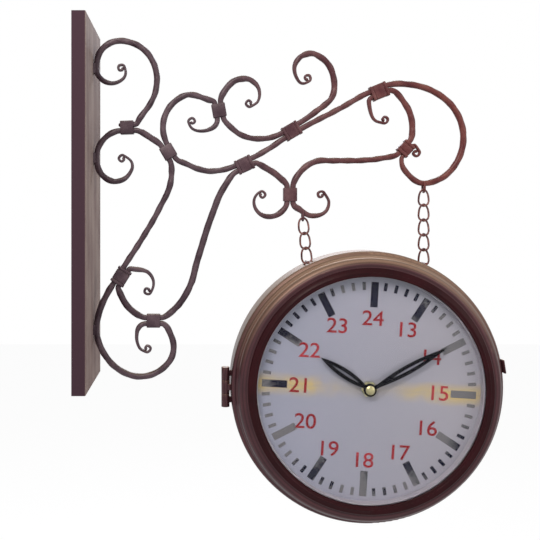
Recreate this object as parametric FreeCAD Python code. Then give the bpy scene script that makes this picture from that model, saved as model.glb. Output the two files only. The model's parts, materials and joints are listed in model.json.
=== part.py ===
import FreeCAD, Part
import math
import os

# Double sided station clock, hung by two chains from a scrolled wall bracket.
# Millimetres. +Z is up, +X leads away from the wall, and the two dials face -Y and +Y.
# The origin is the centre of the wall plate's back, on the wall.

os.makedirs("parts", exist_ok=True)
Vec = FreeCAD.Vector

# ------------------------------------------------------------------ driving dimensions
# wall plate: a folded steel tray, closed behind by a flat sheet with two keyholes
plate_height = 320.0
plate_width = 100.0
plate_depth = 12.0
plate_sheet = 1.2
plate_gap = 0.15
keyhole_spacing = 260.0
keyhole_head = 10.0
keyhole_slot = 5.0
keyhole_rise = 9.0

# square bar, twisted cold, with thinned and rolled ends
bar_side = 4.8
twist_turn = 51.0
steps_per_quarter = 4
roll_radius = 4.0
roll_thick = 2.1
roll_gap = 0.15
roll_width = 4.2
taper_lead = 4.0
taper_length = 38.0
plain_end = 22.0
collar_rest = 3.0
crest_rest = 12.0
bend_step = 24.0
least_step = 0.25

# collars and welds
ridged_length = 15.0
plain_length = 12.0
short_length = 12.0
thin_end = 3.2
collar_wall = 1.0
collar_fit = 0.15
collar_ridge = 0.6
ridge_width = 2.2
groove_width = 0.9
weld_length = 9.0
weld_leg = 2.2
seat_gap = 0.1

# chains: curb links, each twisted so that the chain lies flat
link_length = 16.9
link_width = 10.5
link_wire = 1.8
link_twist = 40.0
link_sides = 8
left_links = 3
right_links = 5
left_lean = 5.6
hang_gap = 0.6
eye_wire = 2.0
eye_drop = 7.7
lug_wire = 2.0
lug_length = 16.0
lug_hole = 9.6

# sight rim and what it holds, from the front to the back; the whole case is drawn out from its opening
sight_radius = 98.2
rim_width = 7.5
rim_radius = sight_radius + rim_width
rim_wall = 1.0
rim_flange = 1.2
bead_reach = 3.4
bead_half = 0.8
bead_radius = sight_radius + bead_reach
rim_bead = 0.4
glass_thick = 2.0
spacer_lap = 1.0
spacer_wall = 1.0
dial_depth = 11.0
dial_thick = 1.0
snap_thick = 1.2
snap_width = 1.6
snap_opening = 14.0
stack_gap = 0.1

# case: a steel band, and a spun moulding on each side of it
moulding_width = 13.9
case_radius = rim_radius + moulding_width
case_wall = 1.0
band_half = 10.0
band_wall = 1.2
seam_gap = 0.3
lip_length = 1.8
lip_overlap = 2.0
lip_bevel = 1.0
face_height = 30.5
bead_drop = 5.0
bead_inset = 2.4
cove_inset = 5.0
cove_foot = 0.8
torus_width = 7.6
torus_height = 6.4
torus_edge = 1.0
face_groove = 2.3
groove_depth = 3.1

# quartz movement, its battery and its motion work
movement_size = 56.0
movement_thick = 15.7
movement_corner = 5.0
movement_floor = 1.2
step_width = 9.0
step_depth = 4.0
bore_depth = 6.0
axle_bore = 8.0
battery_radius = 7.1
battery_length = 49.0
battery_low = 17.5
battery_room = 0.5
nub_radius = 2.7
nub_length = 1.0
contact_room = 1.8
contact_thick = 0.5
contact_width = 8.0
contact_height = 12.0
bush_radius = 4.0
bush_rise = 2.8
washer_radius = 7.0
washer_thick = 0.5
nut_flats = 12.0
nut_thick = 2.0
tube_radius = 2.6
arbor_radius = 1.6
running_gap = 0.05
press_gap = 0.02
wheel_radius = 4.5
wheel_thick = 1.6
wheel_offset = 14.0
wheel_ribs = 12
rib_radius = 0.5
axle_length = 7.6

# hands
hand_thick = 0.5
hand_gap = 0.5
hour_length = 51.0
hour_width = 8.6
hour_angle = 303.4
minute_length = 75.0
minute_width = 8.0
minute_angle = 61.1
hand_slot = 0.24
hub_radius = 5.5
cap_radius = 4.0
cap_height = 1.8

# case hinge, on the left, and catch, on the right
knuckle_radius = 3.6
knuckle_length = 11.5
knuckle_gap = 0.2
hinge_stand = 1.0
pin_radius = 1.5
tab_height = 5.0
tab_thick = 2.6
arm_height = 5.2
catch_height = 12.0
catch_thick = 0.9
catch_rise = 18.0
catch_proud = 2.4
catch_bump = 1.4
catch_neck = 0.6
catch_seat = 0.05
finger_reach = 5.0
rivet_radius = 1.5
rivet_inset = 1.0


def save(name, shape):
    """Writes one sub-part."""
    shape.exportStep("parts/" + name + ".step")


def box(low, high):
    """A box between two corners."""
    return Part.makeBox(high[0] - low[0], high[1] - low[1], high[2] - low[2], Vec(*low))


def rod(radius, start, end):
    """A cylinder from one point to another."""
    axis = Vec(*end) - Vec(*start)
    return Part.makeCylinder(radius, axis.Length, Vec(*start), axis)


# ------------------------------------------------------------------ wall plate
half_wide = plate_width / 2
half_high = plate_height / 2


def wall_tray():
    """Face and four returns folded from one sheet, open towards the wall."""
    outer = box((0, -half_wide, -half_high), (plate_depth, half_wide, half_high))
    edges = [e for e in outer.Edges if min(v.X for v in e.Vertexes) > plate_depth / 2]
    outer = outer.makeFillet(plate_sheet * 0.8, edges)
    inner = box(
        (0, plate_sheet - half_wide, plate_sheet - half_high),
        (plate_depth - plate_sheet, half_wide - plate_sheet, half_high - plate_sheet),
    )
    return outer.cut(inner)


def back_sheet():
    """Flat sheet that lies in the tray's mouth, flush with the wall."""
    edge = plate_sheet + plate_gap
    sheet = box((0, edge - half_wide, edge - half_high), (plate_sheet, half_wide - edge, half_high - edge))
    for z in (-keyhole_spacing / 2, keyhole_spacing / 2):
        low = z - keyhole_rise
        through = plate_sheet + 2
        sheet = sheet.cut(rod(keyhole_head / 2, (-1, 0, low), (through, 0, low)))
        sheet = sheet.cut(rod(keyhole_slot / 2, (-1, 0, z), (through, 0, z)))
        slot = box((-1, -keyhole_slot / 2, low), (through, keyhole_slot / 2, z))
        sheet = sheet.cut(slot)
    return sheet


save("wall_tray", wall_tray())
save("wall_back_sheet", back_sheet())

# ------------------------------------------------------------------ routes of the bars
# Every scroll lies in the plane Y = 0. A route is a list of stations measured from the plate's
# face: (x, z, heading in degrees or None, untwisted length before it, and after it).
# They are drawn for a plate 320 mm tall, and the scrolls grow with the plate.
drawing = plate_height / 320
quarter_turn = twist_turn / 4


def via(*points):
    """Free stations that the bar bends through."""
    return [(x * drawing, z * drawing, None, 0.0, 0.0) for x, z in points]


def weld_at(z, heading):
    """Where the bar touches the wall plate and is welded to it."""
    flat = weld_length / 2 + 1
    return [(bar_side / 2 + seat_gap, z * drawing, heading, flat, flat)]


collars = {
    "upper_to_back": (30.0, 68.6, 2.0, False, plain_length, bar_side),
    "back_to_top": (66.8, 46.9, -60.0, False, plain_length, bar_side),
    "back_to_brace": (24.7, -64.6, 58.0, True, ridged_length, bar_side),
    "brace_to_foot": (53.6, -104.1, 0.0, False, plain_length, bar_side),
    "brace_to_top": (135.0, 35.4, 25.0, True, ridged_length, bar_side),
    "crest_to_loop": (112.2, 84.0, 100.0, False, plain_length, bar_side),
    "crest_to_top": (177.2, 65.6, 30.0, True, ridged_length, bar_side),
    "lower_to_brace": (175.8, 8.7, 90.0, False, plain_length, bar_side),
    "top_to_lower": (255.5, 100.9, 22.0, True, ridged_length, bar_side),
    "lower_to_end": (279.8, 49.2, 48.0, True, short_length, thin_end),
}


def through(name, side, way, beyond=0.0, rest=collar_rest):
    """Straight stretch inside a collar: side +1 is left of its axis, way -1 runs against it."""
    x, z, angle, _, length, thin = collars[name]
    turn = math.radians(angle)
    half = length / 2 + 0.5
    across = collar_fit + bar_side / 2 if side > 0 else -collar_fit - thin / 2
    mid_x = x * drawing - across * math.sin(turn)
    mid_z = z * drawing + across * math.cos(turn)
    step_x = way * math.cos(turn)
    step_z = way * math.sin(turn)
    far = half + beyond
    heading = angle if way > 0 else angle + 180
    return [
        (mid_x - half * step_x, mid_z - half * step_z, heading, collar_rest, half),
        (mid_x + far * step_x, mid_z + far * step_z, heading, half, rest),
    ]


roll_pitch = roll_thick + roll_gap
roll_start = roll_radius - roll_thick / 2 + roll_pitch / 4
roll_quarters = 4


def rolled_end(x, z, start, sense):
    """Snail at a bar's end, its outline centred on (x, z): start angle, then +1 counterclockwise."""
    first = math.radians(start)
    second = math.radians(start + sense * 90)
    mid_x = x * drawing - roll_pitch / 4 * (math.cos(first) + math.cos(second))
    mid_z = z * drawing - roll_pitch / 4 * (math.sin(first) + math.sin(second))
    stations = []
    for quarter in range(roll_quarters + 1):
        angle = start + sense * quarter * 90
        radius = roll_start - roll_pitch * quarter / 4
        px = mid_x + radius * math.cos(math.radians(angle))
        pz = mid_z + radius * math.sin(math.radians(angle))
        stations.append((px, pz, angle + sense * 90, plain_end, 0.0))
    return stations


def backwards(stations):
    """The same stretch, walked from its other end."""
    turned = []
    for x, z, heading, before, after in reversed(stations):
        turned.append((x, z, None if heading is None else heading + 180, after, before))
    return turned


left_eye = (187.2 * drawing, -6.8 * drawing)
right_eye = (295.4 * drawing, 18.6 * drawing)
eye_flat = eye_wire / 2 + 2

scrolls = {
    "upper_scroll": backwards(rolled_end(24.9, 122.5, 25, 1))
    + via((28.6, 115.8), (21.5, 109.0), (11.5, 109.0))
    + weld_at(121.5, 90)
    + via((7.0, 138.5), (18.0, 145.8), (32.0, 145.4), (46.5, 137.4), (55.3, 122.5))
    + via((56.2, 103.8), (50.5, 89.5), (43.0, 79.5))
    + through("upper_to_back", 1, -1, 1.5),
    "back_scroll": backwards(rolled_end(25.2, 41.4, 65, 1))
    + via((34.7, 36.0), (31.0, 25.6), (19.5, 20.2), (8.5, 25.0))
    + weld_at(41.5, 90)
    + via((8.0, 57.0))
    + through("upper_to_back", -1, 1)
    + via((50.8, 59.8))
    + through("back_to_top", -1, 1)
    + via((69.4, 22.0), (57.8, -5.9), (42.0, -33.0))
    + through("back_to_brace", 1, -1)
    + via((9.0, -86.0))
    + weld_at(-112.0, -90)
    + via((9.2, -133.8), (21.5, -147.4), (40.0, -154.4), (59.5, -149.0), (71.2, -134.0))
    + via((70.0, -118.5))
    + through("brace_to_foot", -1, -1)
    + via((38.9, -123.5), (42.5, -130.2))
    + rolled_end(48.5, -129.6, -110, 1),
    "brace_scroll": backwards(rolled_end(48.3, -78.1, -38, -1))
    + via((53.9, -70.0), (48.5, -60.6), (39.5, -58.4))
    + through("back_to_brace", -1, -1)
    + via((25.0, -82.5), (35.5, -96.2))
    + through("brace_to_foot", 1, 1)
    + via((72.6, -93.8), (84.3, -77.5), (94.0, -46.5), (105.5, -10.8), (116.0, 14.0))
    + through("brace_to_top", -1, 1)
    + via((154.5, 32.3), (166.0, 24.4))
    + through("lower_to_brace", 1, -1)
    + via((166.5, -8.2), (154.5, -11.0), (144.5, -3.5), (144.4, 6.5))
    + rolled_end(151.1, 9.0, 115, -1),
    "top_boom": backwards(rolled_end(87.6, 74.6, 195, -1))
    + via((88.0, 67.8), (97.0, 65.2))
    + through("crest_to_loop", 1, 1)
    + via((99.5, 94.6), (85.0, 98.2), (70.5, 90.2), (62.4, 74.5))
    + through("back_to_top", 1, 1)
    + via((84.5, 35.5), (100.0, 29.9), (115.5, 30.8))
    + through("brace_to_top", 1, 1)
    + via((156.0, 49.2))
    + through("crest_to_top", -1, 1, 0.0, crest_rest)
    + via((220.5, 85.8))
    + through("top_to_lower", 1, 1)
    + via((283.0, 107.4), (305.0, 100.8), (323.0, 85.5), (331.2, 62.0), (325.4, 37.8), (311.5, 23.2))
    + [(right_eye[0], right_eye[1], 180.0, eye_flat, eye_flat)]
    + via((281.2, 27.0), (275.8, 36.0))
    + through("lower_to_end", -1, 1, -0.5)
    + rolled_end(289.2, 45.7, 35, -1),
    "lower_boom": backwards(rolled_end(203.5, 9.2, 35, 1))
    + via((210.7, 2.0), (208.5, -5.8), (202.5, -9.8))
    + [(left_eye[0] + 8.2, left_eye[1] - 3.6, 180.0, 0.0, 0.0)]
    + [(left_eye[0], left_eye[1], 140.0, eye_flat, eye_flat)]
    + through("lower_to_brace", -1, 1)
    + via((184.6, 28.8), (197.0, 38.0), (217.0, 39.0), (240.0, 39.3), (258.0, 41.2))
    + through("lower_to_end", 1, 1)
    + via((285.3, 72.5), (278.5, 90.5))
    + through("top_to_lower", -1, -1)
    + via((247.4, 83.5), (251.5, 75.2))
    + rolled_end(260.8, 75.2, -105, 1),
    "crest_scroll": backwards(rolled_end(139.0, 89.8, -60, -1))
    + via((147.0, 91.8), (148.6, 101.5), (141.8, 110.6), (128.5, 111.5), (117.8, 102.2))
    + through("crest_to_loop", -1, -1)
    + via((122.0, 69.8), (134.5, 61.0), (150.0, 58.6))
    + through("crest_to_top", 1, 1, 0.0, crest_rest)
    + via((202.4, 85.6), (213.6, 95.8), (215.2, 112.5), (206.5, 129.5), (192.0, 135.0))
    + via((181.0, 127.0), (180.6, 115.0), (187.2, 108.0))
    + rolled_end(191.9, 112.8, -60, 1),
}


def with_headings(stations):
    """Fills in each free station's heading, from the circle through it and its neighbours."""
    filled = []
    for k, (x, z, heading, before, after) in enumerate(stations):
        if heading is None:
            x0, z0 = stations[k - 1][:2]
            x1, z1 = stations[k + 1][:2]
            angle_in = math.atan2(z - z0, x - x0)
            turn = math.remainder(math.atan2(z1 - z, x1 - x) - angle_in, 2 * math.pi)
            reach = math.hypot(x - x0, z - z0)
            share = reach / (reach + math.hypot(x1 - x, z1 - z))
            heading = math.degrees(angle_in + turn * share)
        filled.append((x, z, math.radians(heading), before, after))
    return filled


def arc_between(x, z, heading, end_x, end_z):
    """Arc that leaves (x, z) at the heading and passes the end point: heading, bend and length."""
    dx = end_x - x
    dz = end_z - z
    chord = math.hypot(dx, dz)
    half = math.remainder(math.atan2(dz, dx) - heading, 2 * math.pi)
    length = chord if abs(half) < 1e-9 else chord * half / math.sin(half)
    return (x, z, heading, 2 * half / length, length)


def two_arcs(start, end):
    """The pair of tangent arcs that joins two stations at their headings."""
    x0, z0, h0 = start[:3]
    x1, z1, h1 = end[:3]
    vx, vz = x1 - x0, z1 - z0
    t0x, t0z = math.cos(h0), math.sin(h0)
    t1x, t1z = math.cos(h1), math.sin(h1)
    square = vx * vx + vz * vz
    along = vx * (t0x + t1x) + vz * (t0z + t1z)
    spread = 2 * (1 - t0x * t1x - t0z * t1z)
    if spread < 1e-9:
        reach = square / (2 * along)
    else:
        reach = (math.sqrt(along * along + spread * square) - along) / spread
    mid_x = (x0 + x1 + reach * (t0x - t1x)) / 2
    mid_z = (z0 + z1 + reach * (t0z - t1z)) / 2
    first = arc_between(x0, z0, h0, mid_x, mid_z)
    second = arc_between(mid_x, mid_z, h0 + first[3] * first[4], x1, z1)
    return [first, second]


def point_on(arcs, distance):
    """Place and heading at a distance along a chain of arcs."""
    arc = arcs[0]
    for following in arcs[1:]:
        if distance <= arc[4]:
            break
        distance -= arc[4]
        arc = following
    x, z, heading, bend = arc[:4]
    turned = heading + bend * distance
    if abs(bend) < 1e-9:
        return x + distance * math.cos(heading), z + distance * math.sin(heading), turned
    px = x + (math.sin(turned) - math.sin(heading)) / bend
    pz = z - (math.cos(turned) - math.cos(heading)) / bend
    return px, pz, turned


def merged(spans, total):
    """Untwisted spans, clipped to the bar, sorted and joined where they meet."""
    joined = []
    for low, high in sorted((max(0.0, a), min(total, b)) for a, b in spans):
        if joined and low < joined[-1][1] + quarter_turn / 2:
            joined[-1][1] = max(joined[-1][1], high)
        else:
            joined.append([low, high])
    return joined


def skin(sections, closed):
    """Solid skin of flat triangles over a row of sections with equal numbers of corners."""
    count = len(sections[0])
    points = [p for section in sections for p in section]
    facets = []
    rows = len(sections) if closed else len(sections) - 1
    for row in range(rows):
        a = row * count
        b = (row + 1) % len(sections) * count
        for k in range(count):
            n = (k + 1) % count
            facets.append((a + k, b + k, b + n))
            facets.append((a + k, b + n, a + n))
    if not closed:
        last = (len(sections) - 1) * count
        for k in range(1, count - 1):
            facets.append((0, k, k + 1))
            facets.append((last, last + k + 1, last + k))
    shape = Part.Shape()
    shape.makeShapeFromMesh((points, facets), 0.001, True)
    return Part.makeSolid(Part.makeShell(shape.Faces))


def bar_sections(stations):
    """Corners of the bar's square at each step: twisted between its seats, thinned to its rolls."""
    stations = with_headings(stations)
    arcs = []
    spans = []
    stops = []
    total = 0.0
    for k, station in enumerate(stations):
        stops.append(total)
        spans.append((total - station[3], total + station[4]))
        if k + 1 < len(stations):
            pair = two_arcs(station, stations[k + 1])
            arcs += pair
            total += pair[0][4] + pair[1][4]
    run = math.radians(90) * roll_quarters * (roll_start - roll_pitch * roll_quarters / 8)
    rolls = []
    if is_rolled(stations[:2]):
        rolls.append(run)
    if is_rolled(stations[-2:]):
        rolls.append(total - run)
    flats = merged([s for s in spans if s[1] > s[0]], total)
    marks = []
    twist = 0.0
    reached = 0.0
    for low, high in flats + [[total, total]]:
        quarters = round((low - reached) / quarter_turn)
        steps = max(1, quarters * steps_per_quarter)
        if low > reached:
            for k in range(steps):
                marks.append((reached + (low - reached) * k / steps, twist + quarters * 90.0 * k / steps))
            twist += quarters * 90.0
        cuts = [low] + [s for s in stops if low < s < high] + [high]
        for start, stop in zip(cuts, cuts[1:]):
            if stop > start:
                marks += evenly_bent(arcs, start, stop, twist)
        reached = high
    spaced = [marks[0]]
    for mark in marks[1:]:
        if mark[0] - spaced[-1][0] > least_step and mark[0] < total - least_step:
            spaced.append(mark)
    spaced.append((total, twist))
    sections = []
    for distance, angle in spaced:
        x, z, heading = point_on(arcs, distance)
        nearest = taper_lead + taper_length
        if rolls and distance < total / 2 and rolls[0] < total / 2:
            nearest = max(0.0, distance - rolls[0])
        if rolls and distance >= total / 2 and rolls[-1] > total / 2:
            nearest = max(0.0, rolls[-1] - distance)
        full = min(1.0, max(0.0, nearest - taper_lead) / taper_length)
        full = full * full * (3 - 2 * full)
        thick = roll_thick + (bar_side - roll_thick) * full
        wide = roll_width + (bar_side - roll_width) * full
        turn = -math.radians(angle)
        corners = []
        for a, b in ((-1, -1), (1, -1), (1, 1), (-1, 1)):
            across = thick / 2 * (a * math.cos(turn) - b * math.sin(turn))
            deep = wide / 2 * (a * math.sin(turn) + b * math.cos(turn))
            corners.append(
                Vec(plate_depth + x - across * math.sin(heading), deep, z + across * math.cos(heading))
            )
        sections.append(corners)
    return sections


def is_rolled(tail):
    """Whether a bar's end is a snail."""
    return all(max(s[3], s[4]) == plain_end for s in tail)


def sum_of_bend(arcs, low, high):
    """Degrees that the route bends through between two distances."""
    total = 0.0
    start = 0.0
    for arc in arcs:
        stop = start + arc[4]
        total += abs(arc[3]) * max(0.0, min(high, stop) - max(low, start))
        start = stop
    return math.degrees(total)


def evenly_bent(arcs, low, high, twist):
    """Marks between two distances, closer together where the route bends more."""
    marks = [(low, twist)]
    whole = sum_of_bend(arcs, low, high) + 1e-6
    steps = math.ceil(whole / bend_step)
    fine = 40 * steps
    for k in range(1, fine):
        distance = low + (high - low) * k / fine
        if sum_of_bend(arcs, low, distance) >= whole * len(marks) / steps:
            marks.append((distance, twist))
    return marks


for scroll_name, scroll_stations in scrolls.items():
    save(scroll_name, skin(bar_sections(scroll_stations), False))

# ------------------------------------------------------------------ collars, welds and eyes


def along_collar(shape, name):
    """Carries a shape made about the origin, with its length along +X, to a collar's place."""
    x, z, angle = collars[name][:3]
    placed = shape.copy()
    placed.rotate(Vec(0, 0, 0), Vec(0, -1, 0), angle)
    placed.translate(Vec(plate_depth + x * drawing, 0, z * drawing))
    return placed


def sleeve(start, end, thin, grow):
    """Eight-cornered block round both bars, with its window still closed."""
    side = 2 * collar_fit + collar_wall + grow
    high = side + bar_side
    low = -side - thin
    deep = bar_side / 2 + collar_fit + collar_wall + grow
    ease = collar_wall * 0.9
    points = [
        (high - ease, deep),
        (high, deep - ease),
        (high, ease - deep),
        (high - ease, -deep),
        (low + ease, -deep),
        (low, ease - deep),
        (low, deep - ease),
        (low + ease, deep),
    ]
    corners = [Vec(start, y, z) for z, y in points]
    return Part.Face(Part.makePolygon(corners + corners[:1])).extrude(Vec(end - start, 0, 0))


def collar(name):
    """Strap wrapped round two bars; a ridged one has two beads and a broad middle band."""
    ridged, length, thin = collars[name][3:]
    end = length / 2
    body = sleeve(-end, end, thin, 0.0)
    if ridged:
        inner = end - ridge_width
        body = body.fuse(sleeve(-end, -inner, thin, collar_ridge))
        body = body.fuse(sleeve(inner, end, thin, collar_ridge))
        body = body.fuse(sleeve(groove_width - inner, inner - groove_width, thin, collar_ridge * 0.6))
        body = body.removeSplitter()
    deep = bar_side / 2 + collar_fit
    low = -2 * collar_fit - thin
    return along_collar(body.cut(box((-length, -deep, low), (length, deep, 2 * collar_fit + bar_side))), name)


for ridged_kind, node in ((True, "ridged_collars"), (False, "plain_collars")):
    save(node, Part.makeCompound([collar(name) for name in collars if collars[name][3] == ridged_kind]))


def weld_pair(z):
    """Fillet welds on both sides of a bar, on the wall plate's face."""
    pair = []
    for side in (-1, 1):
        root = side * bar_side / 2
        start = z - weld_length / 2
        corners = [
            Vec(plate_depth, root, start),
            Vec(plate_depth, root + side * weld_leg, start),
            Vec(plate_depth + weld_leg, root, start),
        ]
        face = Part.Face(Part.makePolygon(corners + corners[:1]))
        pair.append(face.extrude(Vec(0, 0, weld_length)))
    return pair


weld_heights = [s[1] for name in ("upper_scroll", "back_scroll") for s in scrolls[name] if s[0] < bar_side]
save("plate_welds", Part.makeCompound([weld for z in weld_heights for weld in weld_pair(z)]))


def chain_eye(x, z):
    """Wire staple that straddles a bar, welded to both its sides, with its bow below."""
    radius = eye_wire / 2
    reach = bar_side / 2 + radius
    top = z + bar_side / 2 - radius
    low = z - eye_drop + reach
    middle = plate_depth + x
    legs = [rod(radius, (middle, y, low), (middle, y, top)) for y in (-reach, reach)]
    section = Part.Face(Part.Wire([Part.makeCircle(radius, Vec(middle, reach, low), Vec(0, 0, 1))]))
    bow = section.revolve(Vec(middle, 0, low), Vec(-1, 0, 0), 180)
    return legs[0].fuse([legs[1], bow]).removeSplitter()


save("left_eye", chain_eye(*left_eye))
save("right_eye", chain_eye(*right_eye))

# ------------------------------------------------------------------ chains
link_bend = (link_width - link_wire) / 2
link_axis = link_length - link_wire
link_pitch = link_axis - link_wire
wires = (eye_wire + link_wire) / 2


def link_sections():
    """Eight-sided sections round one link, which is twisted about its long axis."""
    half = link_axis / 2 - link_bend
    loop = []
    for k in range(6):
        angle = math.radians(30 * k)
        loop.append((link_bend * math.cos(angle), half + link_bend * math.sin(angle), angle))
    for k in range(4):
        loop.append((-link_bend, half - half * k / 2, math.pi))
    loop = loop[:6] + [s for s in loop[6:] if s[1] > -half]
    for k in range(6):
        angle = math.radians(180 + 30 * k)
        loop.append((link_bend * math.cos(angle), link_bend * math.sin(angle) - half, angle))
    loop += [(link_bend, half * k / 2 - half, 0.0) for k in range(4) if half * k / 2 - half < half]
    sections = []
    for x, z, angle in loop:
        turn = math.radians(link_twist) * z / (link_axis / 2)
        out_x = math.cos(angle) * math.cos(turn)
        out_y = math.cos(angle) * math.sin(turn)
        outward = Vec(out_x, out_y, math.sin(angle))
        side = Vec(-math.sin(turn), math.cos(turn), 0)
        centre = Vec(x * math.cos(turn), x * math.sin(turn), z)
        corners = []
        for k in range(link_sides):
            a = 2 * math.pi * (k + 0.5) / link_sides
            corners.append(centre + (outward * math.cos(a) + side * math.sin(a)) * (link_wire / 2))
        sections.append(corners)
    return sections


link_solid = skin(link_sections(), True)


def chain(x, z, lean, count):
    """Links that hang from a staple's bow at (x, z), and the middle of the lug that holds the last."""
    turn = math.radians(lean)
    down = Vec(math.sin(turn), 0, -math.cos(turn))
    top = Vec(x, 0, z + wires + hang_gap)
    links = []
    for k in range(count):
        link = link_solid.copy()
        link.rotate(Vec(0, 0, 0), Vec(0, -1, 0), lean)
        link.translate(top + down * (link_axis / 2 + k * link_pitch))
        links.append(link)
    last = top + down * (link_axis + (count - 1) * link_pitch)
    lug = last - down * ((lug_wire + link_wire) / 2 + seat_gap)
    return Part.makeCompound(links), lug


left_chain, left_lug = chain(plate_depth + left_eye[0], left_eye[1] - eye_drop, left_lean, left_links)
right_chain, right_lug = chain(plate_depth + right_eye[0], right_eye[1] - eye_drop, 0.0, right_links)
save("left_chain", left_chain)
save("right_chain", right_chain)

# The head hangs where both lugs reach the band's outside.
lug_radius = case_radius + lug_wire / 2
lug_span = right_lug - left_lug
lug_drop = math.sqrt(lug_radius**2 - (lug_span.Length / 2) ** 2)
lug_middle = (left_lug + right_lug) * 0.5
head = lug_middle + Vec(lug_span.z, 0, -lug_span.x) * (lug_drop / lug_span.Length)


def lug_bridges():
    """Two short wires welded across holes in the band, over which the last links hook."""
    bridges = []
    for lug in (left_lug, right_lug):
        start = (lug.x, -lug_length / 2, lug.z)
        bridges.append(rod(lug_wire / 2, start, (lug.x, lug_length / 2, lug.z)))
    return Part.makeCompound(bridges)


save("chain_lugs", lug_bridges())

# ------------------------------------------------------------------ case
# Turned pieces are drawn as half profiles (radius, height above the middle of the case).


def turned(outline):
    """Ring or disc: each item of the outline is a corner, or a corner with the arc's middle first."""
    edges = []
    here = outline[0][-1]
    for item in outline[1:] + outline[:1]:
        there = item[-1]
        a = Vec(here[0], 0, here[1])
        b = Vec(there[0], 0, there[1])
        if len(item) == 2:
            edges.append(Part.Arc(a, Vec(item[0][0], 0, item[0][1]), b).toShape())
        elif (b - a).Length > 1e-6:
            edges.append(Part.LineSegment(a, b).toShape())
        here = there
    face = Part.Face(Part.Wire(edges))
    return face.revolve(Vec(0, 0, 0), Vec(0, 0, 1), 360)


def ring(inner, outer, low, high):
    """Plain ring or, with no inner radius, a disc."""
    disc = Part.makeCylinder(outer, high - low, Vec(0, 0, low))
    if inner <= 0:
        return disc
    return disc.cut(Part.makeCylinder(inner, high - low + 2, Vec(0, 0, low - 1)))


def placed(shape, face):
    """Turns a piece made with its dial side up so that it faces the front (+1) or back (-1)."""
    moved = shape.copy()
    moved.rotate(Vec(0, 0, 0), Vec(1, 0, 0), 90)
    if face < 0:
        moved.rotate(Vec(0, 0, 0), Vec(0, 0, 1), 180)
    moved.translate(head)
    return moved


torus_foot = face_height - groove_depth - torus_height
torus_outer = rim_radius + torus_width + torus_edge


def moulding_line(seam, inset):
    """The moulding's outside, or its inside with an inset: bead, cove, step and torus."""
    bead_top = seam + bead_drop
    out = case_radius - inset
    rise = -inset * 0.8
    lip = face_height - groove_depth - inset
    return [
        ((out, seam),),
        ((out, seam + bead_drop * 0.4),),
        (
            (out - bead_inset * 0.3, bead_top - bead_drop * 0.2 + rise * 0.4),
            (out - bead_inset, bead_top + rise * 0.8),
        ),
        (
            (out - cove_inset * 0.86, (bead_top + torus_foot) / 2 + rise * 0.5),
            (torus_outer + torus_edge - inset, torus_foot - cove_foot + rise * 0.4),
        ),
        ((torus_outer - inset, torus_foot + rise * 0.2),),
        (
            (torus_outer - torus_width * 0.2 - inset * 0.9, torus_foot + torus_height * 0.66 + rise * 0.6),
            (rim_radius + face_groove, lip),
        ),
        ((rim_radius + stack_gap, lip),),
    ]


def moulding(seam):
    """Spun steel moulding from the seam with the band to the rim."""
    outside = moulding_line(seam, 0.0)
    inside = moulding_line(seam, case_wall)
    back = []
    for k in range(len(inside) - 1, 0, -1):
        item = inside[k]
        corner = inside[k - 1][-1]
        back.append((item[0], corner) if len(item) == 2 else (corner,))
    return turned(outside + [(inside[-1][-1],)] + back)


def band():
    """Rolled band with a stepped lip at each edge that locates the mouldings."""
    front = band_half - seam_gap
    outer = case_radius
    inner = case_radius - band_wall
    lip = case_radius - case_wall
    lip_inner = lip - seam_gap - band_wall
    rings = turned(
        [
            ((outer, -band_half),),
            ((outer, front),),
            ((lip - seam_gap, front),),
            ((lip - seam_gap, front + seam_gap + lip_length),),
            ((lip_inner, front + seam_gap + lip_length),),
            ((lip_inner, front - lip_overlap),),
            ((inner, front - lip_overlap - lip_bevel),),
            ((inner, lip_overlap + lip_bevel - band_half),),
            ((lip_inner, lip_overlap - band_half),),
            ((lip_inner, -band_half - lip_length),),
            ((lip - stack_gap, -band_half - lip_length),),
            ((lip - stack_gap, -band_half),),
        ]
    )
    rings = placed(rings, 1)
    for lug in (left_lug, right_lug):
        outward = lug - head
        start = head + outward * 0.9
        rings = rings.cut(Part.makeCylinder(lug_hole / 2, outward.Length * 0.2, start, outward))
    return rings


save("rear_moulding", placed(moulding(band_half), -1))
save("front_moulding", placed(moulding(band_half), 1))

# ------------------------------------------------------------------ rim, glass, spacer, dial
glass_front = face_height - rim_flange - stack_gap
glass_back = glass_front - glass_thick
dial_front = face_height - dial_depth
dial_back = dial_front - dial_thick
snap_back = dial_back - stack_gap - snap_thick
skirt_end = snap_back - 1.0
stack_radius = rim_radius - rim_wall - stack_gap
spacer_radius = sight_radius - spacer_lap


def rim():
    """Sight rim: a flange with a fine bead, and a skirt that holds glass, spacer and dial."""
    top = face_height
    flat = top - rim_bead
    under = top - rim_flange
    inside = rim_radius - rim_wall
    return turned(
        [
            ((rim_radius, skirt_end),),
            ((rim_radius, flat - rim_bead),),
            ((rim_radius - rim_bead, flat),),
            ((bead_radius + bead_half, flat),),
            ((bead_radius, top), (bead_radius - bead_half, flat)),
            ((sight_radius + 1.0, flat - 0.1),),
            ((sight_radius + 0.1, flat - 0.35), (sight_radius, under),),
            ((inside, under),),
            ((inside, snap_back - 0.1),),
            ((inside - 0.5, snap_back - 0.5),),
            ((inside - 0.2, skirt_end),),
        ]
    )


def spacer():
    """White ring between the glass and the dial, with a foot that spreads over the dial's edge."""
    low = dial_front
    high = glass_back - stack_gap
    foot = low + spacer_wall
    return turned(
        [
            ((spacer_radius, low),),
            ((stack_radius, low),),
            ((stack_radius, foot),),
            ((spacer_radius + spacer_wall, foot),),
            ((spacer_radius + spacer_wall, high),),
            ((spacer_radius, high),),
        ]
    )


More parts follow.
